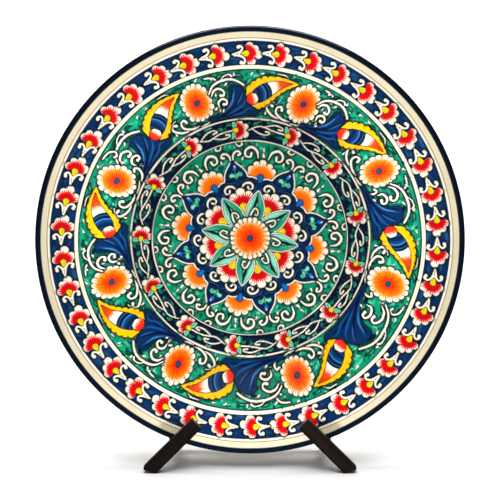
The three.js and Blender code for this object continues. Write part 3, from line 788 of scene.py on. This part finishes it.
def paint_medallion(c, radius=68.6, first=32.0, flower=9.7):
    """The middle: green cells, half daisies, the navy star and the central flower."""
    washes = [(0.10, 0.66, 0.48), (0.26, 0.76, 0.58), MINT, DARK_GREEN, (0.02, 0.42, 0.32)]
    dots = [(0.0, 0.22, 0.18), (0.42, 0.84, 0.68), (0.0, 0.32, 0.26), (0.20, 0.74, 0.57)]
    ground(c, 0.1, radius + 0.8, GREEN, washes, 900, 7, 1.5)
    dabs(c, 38, radius - 1, 640, dots, 1.6)
    for k in range(8):
        green_cell(c, flower + 45 * k + c.uniform(-0.6, 0.6))
    for k in range(8):
        at = flower + 45 * k + c.uniform(-0.5, 0.5)
        half_daisy(c, turn_to([(0, 43.0)], -at)[0], 90 - at, 13.4)
    outline = star_outline(first)
    c.shape(outline, CREAM, line=1.5, line_colour=BLACK)
    c.shape(outline, CREAM, line=1.15, line_colour=CREAM, raised=1.0)
    area, _, _, mask = c.shape(outline, NAVY, line=0.22)
    c.lay(area, mask, (0.02, 0.14, 0.30))
    for _ in range(420):
        a = c.uniform(0, 2 * math.pi)
        r = c.uniform(20, 55)
        spot = (polar(r, a) + c.half) / c.step - (area[1].start, area[0].start)
        column, row = np.clip(spot, 0, np.subtract(mask.shape[::-1], 1)).astype(int)
        inside = star_radius(abs((math.degrees(a) - first + 22.5) % 45 - 22.5))
        if mask[row, column] > 0.5 and r < inside - 3.6:
            tone = ((0.04, 0.24, 0.46), (0.10, 0.32, 0.54), (0.01, 0.05, 0.14))[c.random.integers(3)]
            touch(c, r, a, [(0, 0), (1.5, 0.4), (2.8, 0)], [0.3, 0.9, 0.2], tone, 0.6, 0.6)
    for k in range(8):
        at = flower + 45 * k
        eye = turn_to([(0, 41.0), (0, 43.6)], -at)
        lined(c, eye, [1.4, 2.3], (0.04, 0.36, 0.64), 0.35, 0.6)
        c.stroke(eye + (0.5, 0.3), [0.2, 0.6], (0.12, 0.50, 0.78), soft=0.5, alpha=0.8)
    for k in range(8):
        star_sector(c, first + 45 * k + c.uniform(-0.5, 0.5))
    for k in range(8):
        tip_volutes(c, first + 45 * k)
    for k in range(8):
        red_fan(c, first + 45 * k + c.uniform(-1, 2), 22.4, 1.0)
    for k in range(8):
        mint_petal(c, flower + 45 * k + c.uniform(-1.2, 1.2), 11.0, 33.6, 6.1)
    daisy(c, np.array([0.0, 0.0]), 14.6, 24, 0.0, 2.0)
    circle_line(c, radius + 0.5, 0.5, CREAM, 0.5)
    circle_line(c, radius - 0.1, 0.25, BLACK)
    circle_line(c, radius + 1.3, 0.4, BLACK)


def paint_plate(step):
    """The whole decoration, from the rim in, so that each band's edge lines lie on the last."""
    canvas = Canvas(151.0, step, seed=7)
    paint_rim_lines(canvas)
    paint_flower_band(canvas)
    paint_green_band(canvas)
    paint_inner_band(canvas)
    paint_medallion(canvas)
    return canvas


# --- The plate's body -----------------------------------------------------------------------
# Its section, in millimetres: radius from the axis, and height out of the rim's plane.

PLATE_RADIUS = 150.0
EDGE_ROUND = 2.6
RIM_RADIUS = PLATE_RADIUS - EDGE_ROUND
RIM_INNER = 121.0
RIM_DEPTH = 4.5
WELL_RADIUS = 85.0
WELL_DEPTH = 26.0
RIM_SLOPE = RIM_DEPTH / (RIM_RADIUS - RIM_INNER)
BACK_RIM_DEPTH = 10.4
BACK_WELL_RADIUS = 89.2
BACK_DEPTH = 31.0
FOOT_DEPTH = 33.6
FOOT_OUTER = 87.0
FOOT_INNER = 79.0
FOOT_CORNER = 0.8
RELIEF = 0.05  # how far the thickest paint stands off the glaze

BACK_EDGE = 3.5  # width of the blue edge on the back
BACK_LINE = 96.0  # radius of the blue line round the foot, and half its width
BACK_LINE_HALF = 1.3
BACK_STEP = 1.6
FINE_RADIUS = 82.0  # rings wider than this have all their points

BACK_GLAZE = (0.93, 0.90, 0.83)
CLAY = (0.80, 0.60, 0.44)


def sweep_down(r, outer, inner, high, low):
    """Height of the curve from the rim's inner edge down to the well."""
    t = np.clip((r - inner) / (outer - inner), 0, 1)
    return low + t * t * (3 - 2 * t) * (high - low) + (t**3 - t**2) * RIM_SLOPE * (outer - inner)


def front_height(r):
    rim = -RIM_DEPTH + RIM_SLOPE * (r - RIM_INNER)
    return np.where(r > RIM_INNER, rim, sweep_down(r, RIM_INNER, WELL_RADIUS, -RIM_DEPTH, -WELL_DEPTH))


def back_height(r):
    slope = (BACK_RIM_DEPTH - 2 * EDGE_ROUND) / (RIM_RADIUS - RIM_INNER)
    rim = -BACK_RIM_DEPTH + slope * (r - RIM_INNER)
    dip = sweep_down(r, RIM_INNER, BACK_WELL_RADIUS, -BACK_RIM_DEPTH, -BACK_DEPTH)
    return np.where(r > RIM_INNER, rim, dip)


def corner(centre, radius, start, stop, steps):
    """Points of a round corner of the section, by angles in degrees."""
    a = np.radians(np.linspace(start, stop, steps))
    return [(centre[0] + radius * math.cos(t), centre[1] + radius * math.sin(t)) for t in a]


def plate_section(step):
    """Rings (radius, height, part) from the face's middle over the edge to the back's middle."""
    rings = [(r, float(front_height(r)), "face") for r in np.arange(step, RIM_RADIUS - 0.3 * step, step)]
    edge = corner((RIM_RADIUS, -EDGE_ROUND), EDGE_ROUND, 90, -90, 17)
    rings += [(r, n, "edge") for r, n in edge]
    back = np.arange(RIM_RADIUS - BACK_STEP, BACK_WELL_RADIUS, -BACK_STEP)
    rings += [(r, float(back_height(r)), "back") for r in back]
    foot_top = -FOOT_DEPTH + FOOT_CORNER
    rings += [(r, n, "back") for r, n in corner((BACK_WELL_RADIUS, -BACK_DEPTH - 1), 1.0, 90, 180, 4)]
    rings += [(FOOT_OUTER + 0.9, foot_top + 0.3, "back")]
    rings += [(r, n, "foot") for r, n in corner((FOOT_OUTER, foot_top), FOOT_CORNER, 0, -90, 5)]
    rings += [(r, n, "foot") for r, n in corner((FOOT_INNER, foot_top), FOOT_CORNER, -90, -180, 5)]
    rings += [(FOOT_INNER - 0.9, foot_top + 0.3, "back")]
    rings += [(r, n, "back") for r, n in corner((FOOT_INNER - 2.0, -BACK_DEPTH - 1), 1.0, 0, 90, 4)]
    rings += [(r, -BACK_DEPTH, "back") for r in np.arange(74.0, 3.0, -4.0)]
    return rings


def ring_points(radius, finest):
    """How many points a ring has: halved inwards, so that they stay about as far apart."""
    count = finest
    while count > 16 and radius < FINE_RADIUS * count / finest:
        count //= 2
    return count


def stitch(a, na, b, nb):
    """Faces between two rings whose counts are alike, or where one has twice the other's."""
    if na > nb:
        return [face[:, ::-1] for face in stitch(b, nb, a, na)]
    i = np.arange(na)
    j = (i + 1) % na
    if na == nb:
        return [np.stack([a + i, a + j, b + j, b + i], 1)]
    first, middle, last = 2 * i, 2 * i + 1, (2 * i + 2) % nb
    return [
        np.stack([a + i, b + middle, b + first], 1),
        np.stack([a + i, a + j, b + middle], 1),
        np.stack([a + j, b + last, b + middle], 1),
    ]


def to_linear(rgb):
    rgb = np.clip(rgb, 0, 1)
    return np.where(rgb <= 0.04045, rgb / 12.92, ((rgb + 0.055) / 1.055) ** 2.4)


def sample(sheet, canvas, x, y):
    """Values of a sheet at places on the face, blended between its points."""
    u = np.clip((x + canvas.half) / canvas.step, 0, canvas.count - 1.001)
    v = np.clip((y + canvas.half) / canvas.step, 0, canvas.count - 1.001)
    i, j = u.astype(int), v.astype(int)
    fu, fv = u - i, v - j
    if sheet.ndim == 3:
        fu, fv = fu[:, None], fv[:, None]
    low = sheet[j, i] * (1 - fu) + sheet[j, i + 1] * fu
    high = sheet[j + 1, i] * (1 - fu) + sheet[j + 1, i + 1] * fu
    return low * (1 - fv) + high * fv


LIFT = Vector(joints["plate_lift"]["axis"]).normalized()
OUT = Vector((1, 0, 0)).cross(LIFT).normalized()


def plate_centre():
    """The middle of the rim's plane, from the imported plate's box and its lean."""
    low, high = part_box("plate")
    reach, round_off = RIM_RADIUS * MM, EDGE_ROUND * MM
    y = low.y + reach * LIFT.y + round_off * OUT.y + round_off
    z = high.z - reach * LIFT.z + round_off * OUT.z - round_off
    return Vector((0, y, z))


CENTRE = plate_centre()


def on_plate(x, up, out):
    """Places in metres, from millimetres across, up and out of the plate's face."""
    across = np.outer(x, (MM, 0, 0))
    return np.array(CENTRE) + across + np.outer(up, np.array(LIFT) * MM) + np.outer(out, np.array(OUT) * MM)


def back_colours(r, part):
    """Cream glaze with a blue edge and a blue line round the foot, and bare clay on the foot."""
    colour = np.tile(BACK_GLAZE, (len(r), 1))
    colour[part == "edge"] = EDGE_BLUE
    blue = (part == "back") & (r > RIM_RADIUS - BACK_EDGE)
    colour[blue] = EDGE_BLUE
    ring = (part == "back") & (np.abs(r - BACK_LINE) < BACK_LINE_HALF)
    colour[ring] = NAVY
    colour[part == "foot"] = CLAY
    return colour


def build_plate():
    """One closed mesh of rings, with its paint as a colour on every point."""
    step, finest = ((0.5, 2048))
    canvas = paint_plate(0.2)
    rings = plate_section(step)
    radii, angles, heights, parts, starts, counts = [[0.0]], [[0.0]], [[-WELL_DEPTH]], [["face"]], [], []
    total = 1
    on_face = True
    for radius, height, part in rings:
        on_face = on_face and part == "face"
        full = finest if on_face or part == "edge" else finest // 4
        count = ring_points(radius, full)
        if counts and counts[-1] > 2 * count:
            count = counts[-1] // 2
        starts.append(total)
        counts.append(count)
        total += count
        radii.append([radius] * count)
        heights.append([height] * count)
        angles.append(np.arange(count) * 2 * np.pi / count)
        parts.append([part] * count)
    radii.append([0.0])
    angles.append([0.0])
    heights.append([-BACK_DEPTH])
    parts.append(["back"])
    r, a = np.concatenate(radii), np.concatenate(angles)
    n, part = np.concatenate(heights), np.concatenate(parts)
    x, y = r * np.sin(a), r * np.cos(a)

    colour = back_colours(r, part)
    face = part == "face"
    colour[face] = sample(canvas.rgb, canvas, x[face], y[face])
    n[face] += RELIEF * sample(canvas.thick, canvas, x[face], y[face])

    faces = []
    first, last = np.arange(counts[0]), np.arange(counts[-1])
    hub = np.zeros_like(first)
    faces.append(np.stack([hub, starts[0] + (first + 1) % counts[0], starts[0] + first], 1))
    for a0, n0, a1, n1 in zip(starts, counts, starts[1:], counts[1:]):
        faces += stitch(a0, n0, a1, n1)
    end = np.full_like(last, total)
    faces.append(np.stack([end, starts[-1] + last, starts[-1] + (last + 1) % counts[-1]], 1))

    mesh = bpy.data.meshes.new("painted_plate")
    mesh.from_pydata(on_plate(x, y, n).tolist(), [], [row for face in faces for row in face.tolist()])
    mesh.polygons.foreach_set("use_smooth", np.ones(len(mesh.polygons), bool))
    paint = mesh.attributes.new("paint", "FLOAT_COLOR", "POINT")
    paint.data.foreach_set("color", np.column_stack([to_linear(colour), np.ones(len(colour))]).ravel())
    bare = mesh.attributes.new("bare", "FLOAT", "POINT")
    bare.data.foreach_set("value", (part == "foot").astype(np.float32))
    plate = bpy.data.objects.new("painted_plate", mesh)
    bpy.context.scene.collection.objects.link(plate)
    return plate


# --- Materials ------------------------------------------------------------------------------


def material(name):
    """A new material and what is needed to build it: its nodes, links and main shader."""
    made = bpy.data.materials.new(name)
    made.use_nodes = True
    tree = made.node_tree
    return made, tree.nodes, tree.links, tree.nodes["Principled BSDF"]


def settle(node, **values):
    """Sets inputs of a node by name, with _ for the spaces."""
    for name, value in values.items():
        node.inputs[name.replace("_", " ")].default_value = value


def noise(nodes, links, vector, scale, detail, roughness=0.55, distortion=0.0):
    """A noise value at the places that vector gives."""
    node = nodes.new("ShaderNodeTexNoise")
    links.new(vector, node.inputs["Vector"])
    settle(node, Scale=scale, Detail=detail, Roughness=roughness, Distortion=distortion)
    return node.outputs["Fac"]


def ramp(nodes, links, source, stops):
    """A colour ramp fed by source; stops are (place, colour)."""
    node = nodes.new("ShaderNodeValToRGB")
    elements = node.color_ramp.elements
    while len(elements) < len(stops):
        elements.new(0.5)
    for element, (place, colour) in zip(elements, stops):
        element.position = place
        element.color = (*colour, 1)
    links.new(source, node.inputs["Fac"])
    return node.outputs["Color"]


def spread(nodes, links, source, low, high, first=0.0, last=1.0):
    """Maps a value from first..last to low..high."""
    node = nodes.new("ShaderNodeMapRange")
    settle(node, From_Min=first, From_Max=last, To_Min=low, To_Max=high)
    links.new(source, node.inputs["Value"])
    return node.outputs["Result"]


def mix(nodes, links, kind, share, a, b):
    """A colour mix. share, a and b are sockets or constants."""
    node = nodes.new("ShaderNodeMix")
    node.data_type = "RGBA"
    node.blend_type = kind
    for name, value in (("Factor", share), ("A", a), ("B", b)):
        socket = [s for s in node.inputs if s.name == name and s.enabled][0]
        if isinstance(value, bpy.types.NodeSocket):
            links.new(value, socket)
        else:
            socket.default_value = value if name == "Factor" else (*value, 1)
    return [s for s in node.outputs if s.enabled][0]


def bump(nodes, links, shader, height, strength, distance):
    """A fine relief on a surface; distance is in metres."""
    node = nodes.new("ShaderNodeBump")
    settle(node, Strength=strength, Distance=distance)
    links.new(height, node.inputs["Height"])
    links.new(node.outputs["Normal"], shader.inputs["Normal"])


def place_of(nodes):
    """The place on the object, in metres."""
    return nodes.new("ShaderNodeTexCoord").outputs["Object"]


def glaze_material():
    """Painted enamel under clear glaze, and rough clay where the plate's foot was wiped."""
    made, nodes, links, shader = material("painted_glaze")
    place = place_of(nodes)
    paint = nodes.new("ShaderNodeAttribute")
    paint.attribute_name = "paint"
    bare = nodes.new("ShaderNodeAttribute")
    bare.attribute_name = "bare"
    clouds = noise(nodes, links, place, 45, 3)
    grain = noise(nodes, links, place, 900, 3, 0.7)
    wash = ramp(nodes, links, clouds, [(0.3, (0.90, 0.90, 0.90)), (0.7, (1, 1, 1))])
    toned = mix(nodes, links, "MULTIPLY", 1.0, paint.outputs["Color"], wash)
    speck = ramp(nodes, links, grain, [(0.34, (0.82, 0.80, 0.76)), (0.42, (1, 1, 1))])
    links.new(mix(nodes, links, "MULTIPLY", 0.6, toned, speck), shader.inputs["Base Color"])
    gloss = mix(nodes, links, "MIX", bare.outputs["Fac"], (0.16, 0.16, 0.16), (0.85, 0.85, 0.85))
    links.new(gloss, shader.inputs["Roughness"])
    settle(shader, Specular_IOR_Level=0.5)
    ripple = noise(nodes, links, place, 160, 2, 0.4)
    bump(nodes, links, shader, ripple, 0.10, 0.0006)
    return made


def wood_material(name, along):
    """Near black stained wood whose grain runs along a direction."""
    made, nodes, links, shader = material(name)
    place = place_of(nodes)
    along = Vector(along).normalized()
    across = along.cross(OUT).normalized()
    axes = nodes.new("ShaderNodeCombineXYZ")
    for socket, direction, stretch in (("X", along, 6.0), ("Y", across, 150.0), ("Z", OUT, 150.0)):
        dot = nodes.new("ShaderNodeVectorMath")
        dot.operation = "DOT_PRODUCT"
        dot.inputs[1].default_value = direction * stretch
        links.new(place, dot.inputs[0])
        links.new(dot.outputs["Value"], axes.inputs[socket])
    grain = axes.outputs["Vector"]
    fibres = noise(nodes, links, grain, 2.0, 6, 0.65, 0.6)
    pores = noise(nodes, links, grain, 9.0, 3, 0.6)
    blotch = noise(nodes, links, grain, 0.35, 2)
    stain = ramp(nodes, links, fibres, [(0.30, (0.005, 0.0020, 0.0011)), (0.55, (0.019, 0.0080, 0.0046)),
                                        (0.78, (0.050, 0.022, 0.013))])
    worn = ramp(nodes, links, blotch, [(0.35, (0.65, 0.62, 0.60)), (0.75, (1, 1, 1))])
    links.new(mix(nodes, links, "MULTIPLY", 0.8, stain, worn), shader.inputs["Base Color"])
    links.new(spread(nodes, links, pores, 0.34, 0.62), shader.inputs["Roughness"])
    bump(nodes, links, shader, fibres, 0.35, 0.0004)
    return made


def steel_material():
    """Zinc plated steel, turned, with a fine uneven brushing."""
    made, nodes, links, shader = material("zinc_steel")
    place = place_of(nodes)
    settle(shader, Metallic=1.0)
    lines = noise(nodes, links, place, 700, 3)
    cloud = noise(nodes, links, place, 120, 3)
    zinc = ramp(nodes, links, cloud, [(0.3, (0.42, 0.42, 0.41)), (0.7, (0.62, 0.62, 0.60))])
    links.new(zinc, shader.inputs["Base Color"])
    links.new(spread(nodes, links, lines, 0.25, 0.5), shader.inputs["Roughness"])
    bump(nodes, links, shader, lines, 0.15, 0.00015)
    return made


def soften(node, width=0.0005):
    """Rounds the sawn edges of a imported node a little."""
    bevel = nodes[node].modifiers.new("worn_edges", "BEVEL")
    bevel.width = width
    bevel.segments = 2
    bevel.limit_method = "ANGLE"
    bevel.angle_limit = math.radians(40)
    bevel.harden_normals = True


def dress(node, made):
    nodes[node].data.materials.clear()
    nodes[node].data.materials.append(made)


plate = build_plate()
plate.data.materials.append(glaze_material())
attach(plate, "dish")
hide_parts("plate")

SPREAD = math.radians(45)


def bar_direction(side):
    """Down along a crossed leg of the open easel; side is -1 for the left foot's bar."""
    return Vector((side, 0, 0)) * math.sin(SPREAD) - LIFT * math.cos(SPREAD)


LEG_WOOD = {"left": wood_material("stained_wood_left", bar_direction(-1)),
            "right": wood_material("stained_wood_right", bar_direction(1))}
for side, made in LEG_WOOD.items():
    for part in ("front_leg", "rear_slat"):
        dress(f"{side}_{part}", made)
        soften(f"{side}_{part}")
ledge_wood = wood_material("stained_wood_ledge", OUT)
for side in ("left", "right"):
    dress(f"{side}_ledge", ledge_wood)
block_wood = wood_material("stained_wood_block", LIFT)
for node in ("hub_block", "prop_leg", "left_stop_peg", "right_stop_peg"):
    dress(node, block_wood)
for node in ("hub_block", "prop_leg"):
    soften(node)
steel = steel_material()
for node in ("pivot_bolt", "pivot_spacer", "pivot_washer", "pivot_nut", "prop_pin",
             "left_prop_washer", "right_prop_washer"):
    dress(node, steel)


# --- Floor, light and camera ----------------------------------------------------------------


def build_floor():
    """A pale sheet that lies on the floor and sweeps up behind."""
    half, front, back, rise, height = 4.0, -5.0, 1.4, 1.2, 4.5
    bend = [(back + rise * math.sin(a), rise * (1 - math.cos(a))) for a in np.radians(np.arange(6, 91, 6))]
    section = [(front, 0.0), (back, 0.0), *bend, (back + rise, height)]
    points = [(x, y, z) for y, z in section for x in (-half, half)]
    faces = [(2 * i, 2 * i + 1, 2 * i + 3, 2 * i + 2) for i in range(len(section) - 1)]
    mesh = bpy.data.meshes.new("floor")
    mesh.from_pydata(points, [], faces)
    mesh.polygons.foreach_set("use_smooth", [True] * len(faces))
    floor = bpy.data.objects.new("floor", mesh)
    bpy.context.scene.collection.objects.link(floor)
    made, shades, links, shader = material("pale_paper")
    fibres = noise(shades, links, place_of(shades), 30, 2)
    pale = ramp(shades, links, fibres, [(0.3, (0.95, 0.95, 0.95)), (0.7, (0.97, 0.97, 0.97))])
    links.new(pale, shader.inputs["Base Color"])
    settle(shader, Roughness=0.95, Specular_IOR_Level=0.0)
    mesh.materials.append(made)
    floor.visible_glossy = False
    return floor


# Watts of each lamp, and the sines of the angles by which a side light's beam is shaded
OVERHEAD_WATTS = 25
BACKDROP_WATTS = 120
PLATE_WATTS = 1.6
SIDE_WATTS = 65.0
BEAM_ACROSS = 0.08
BEAM_UP = 0.18


def place_aimed(name, data, place, target):
    """A lamp or camera at a place, aimed at a target."""
    made = bpy.data.objects.new(name, data)
    made.location = place
    made.rotation_euler = (Vector(target) - Vector(place)).to_track_quat("-Z", "Y").to_euler()
    bpy.context.scene.collection.objects.link(made)
    return made


def area_light(name, place, target, size, watts):
    data = bpy.data.lights.new(name, "AREA")
    data.shape = "RECTANGLE"
    data.size, data.size_y = size
    data.energy = watts
    return place_aimed(name, data, place, target)


def group(name, *objects):
    """A collection for light linking."""
    made = bpy.data.collections.new(name)
    for one in objects:
        made.objects.link(one)
    return made


def side_light(side):
    """A spot well to one side of the plate and a little in front. It lights the far half of the
    plate, and only the plate and that half's front leg shade it, so that the leg's shadow falls
    outwards on the rim."""
    name = "left" if side < 0 else "right"
    far_leg = nodes["right_front_leg"] if side < 0 else nodes["left_front_leg"]
    data = bpy.data.lights.new(name + "_side_light", "SPOT")
    data.energy = SIDE_WATTS
    data.spot_size = math.radians(50)
    data.spot_blend = 0.2
    data.shadow_soft_size = 0.05
    data.use_nodes = True
    shades, links = data.node_tree.nodes, data.node_tree.links
    way = shades.new("ShaderNodeTexCoord")
    parts = shades.new("ShaderNodeSeparateXYZ")
    links.new(way.outputs["Normal"], parts.inputs["Vector"])
    near, far = (1, 0) if side > 0 else (0, 1)
    across = spread(shades, links, parts.outputs["X"], near, far, -BEAM_ACROSS, BEAM_ACROSS)
    shade = ramp(shades, links, across, [(0.28, (0, 0, 0)), (0.60, (1, 1, 1)), (0.97, (0.55, 0.55, 0.55))])
    rise = spread(shades, links, parts.outputs["Y"], 0.88, 1.24, -BEAM_UP, BEAM_UP)
    both = shades.new("ShaderNodeMath")
    both.operation = "MULTIPLY"
    links.new(shade, both.inputs[0])
    links.new(rise, both.inputs[1])
    links.new(both.outputs["Value"], shades["Emission"].inputs["Strength"])
    place = CENTRE + Vector((side * 0.72, 0, 0)) + OUT * 0.34
    lamp = place_aimed(name + "_side_light", data, place, CENTRE)
    lamp.visible_camera = False
    lamp.visible_glossy = False
    lamp.light_linking.receiver_collection = group(name + "_lit", plate)
    lamp.light_linking.blocker_collection = group(name + "_shades", far_leg, plate)


def build_light():
    """Plain studio light: a dim surround, two softboxes, a lit backdrop and two side lights."""
    world = bpy.data.worlds.new("studio")
    world.use_nodes = True
    settle(world.node_tree.nodes["Background"], Color=(1, 1, 1, 1), Strength=0.07)
    bpy.context.scene.world = world
    others = [node for name, node in nodes.items() if name != "plate"]
    softbox = ((0.0, -0.7, 2.0), (0, -0.2, 0), (1.6, 1.0))  # where it is, what it aims at, its size
    overhead = area_light("overhead_softbox", *softbox, OVERHEAD_WATTS)
    overhead.light_linking.receiver_collection = group("stand_and_floor", floor, *others)
    area_light("backdrop_light", (0.0, 0.6, 3.0), (0, 2.2, 0.6), (3.0, 1.0), BACKDROP_WATTS)
    plate_softbox = area_light("plate_softbox", *softbox, PLATE_WATTS)
    plate_softbox.light_linking.receiver_collection = group("softbox_lit", plate)
    for side in (-1, 1):
        side_light(side)


CAMERA_DISTANCE = 1.5
CAMERA_RISE = math.radians(5.6)  # above the plate's axis


def build_camera():
    """Level with the plate and a little above its axis. The shift lifts the plate in the frame."""
    eye = CENTRE + (LIFT * math.sin(CAMERA_RISE) + OUT * math.cos(CAMERA_RISE)) * CAMERA_DISTANCE
    data = bpy.data.cameras.new("camera")
    data.sensor_width = 36.0
    data.lens = 155.05
    data.shift_y = -0.0162
    data.clip_start = 0.05
    bpy.context.scene.camera = place_aimed("camera", data, eye, CENTRE)


floor = build_floor()
build_light()
build_camera()
bpy.context.scene.view_settings.view_transform = "Standard"
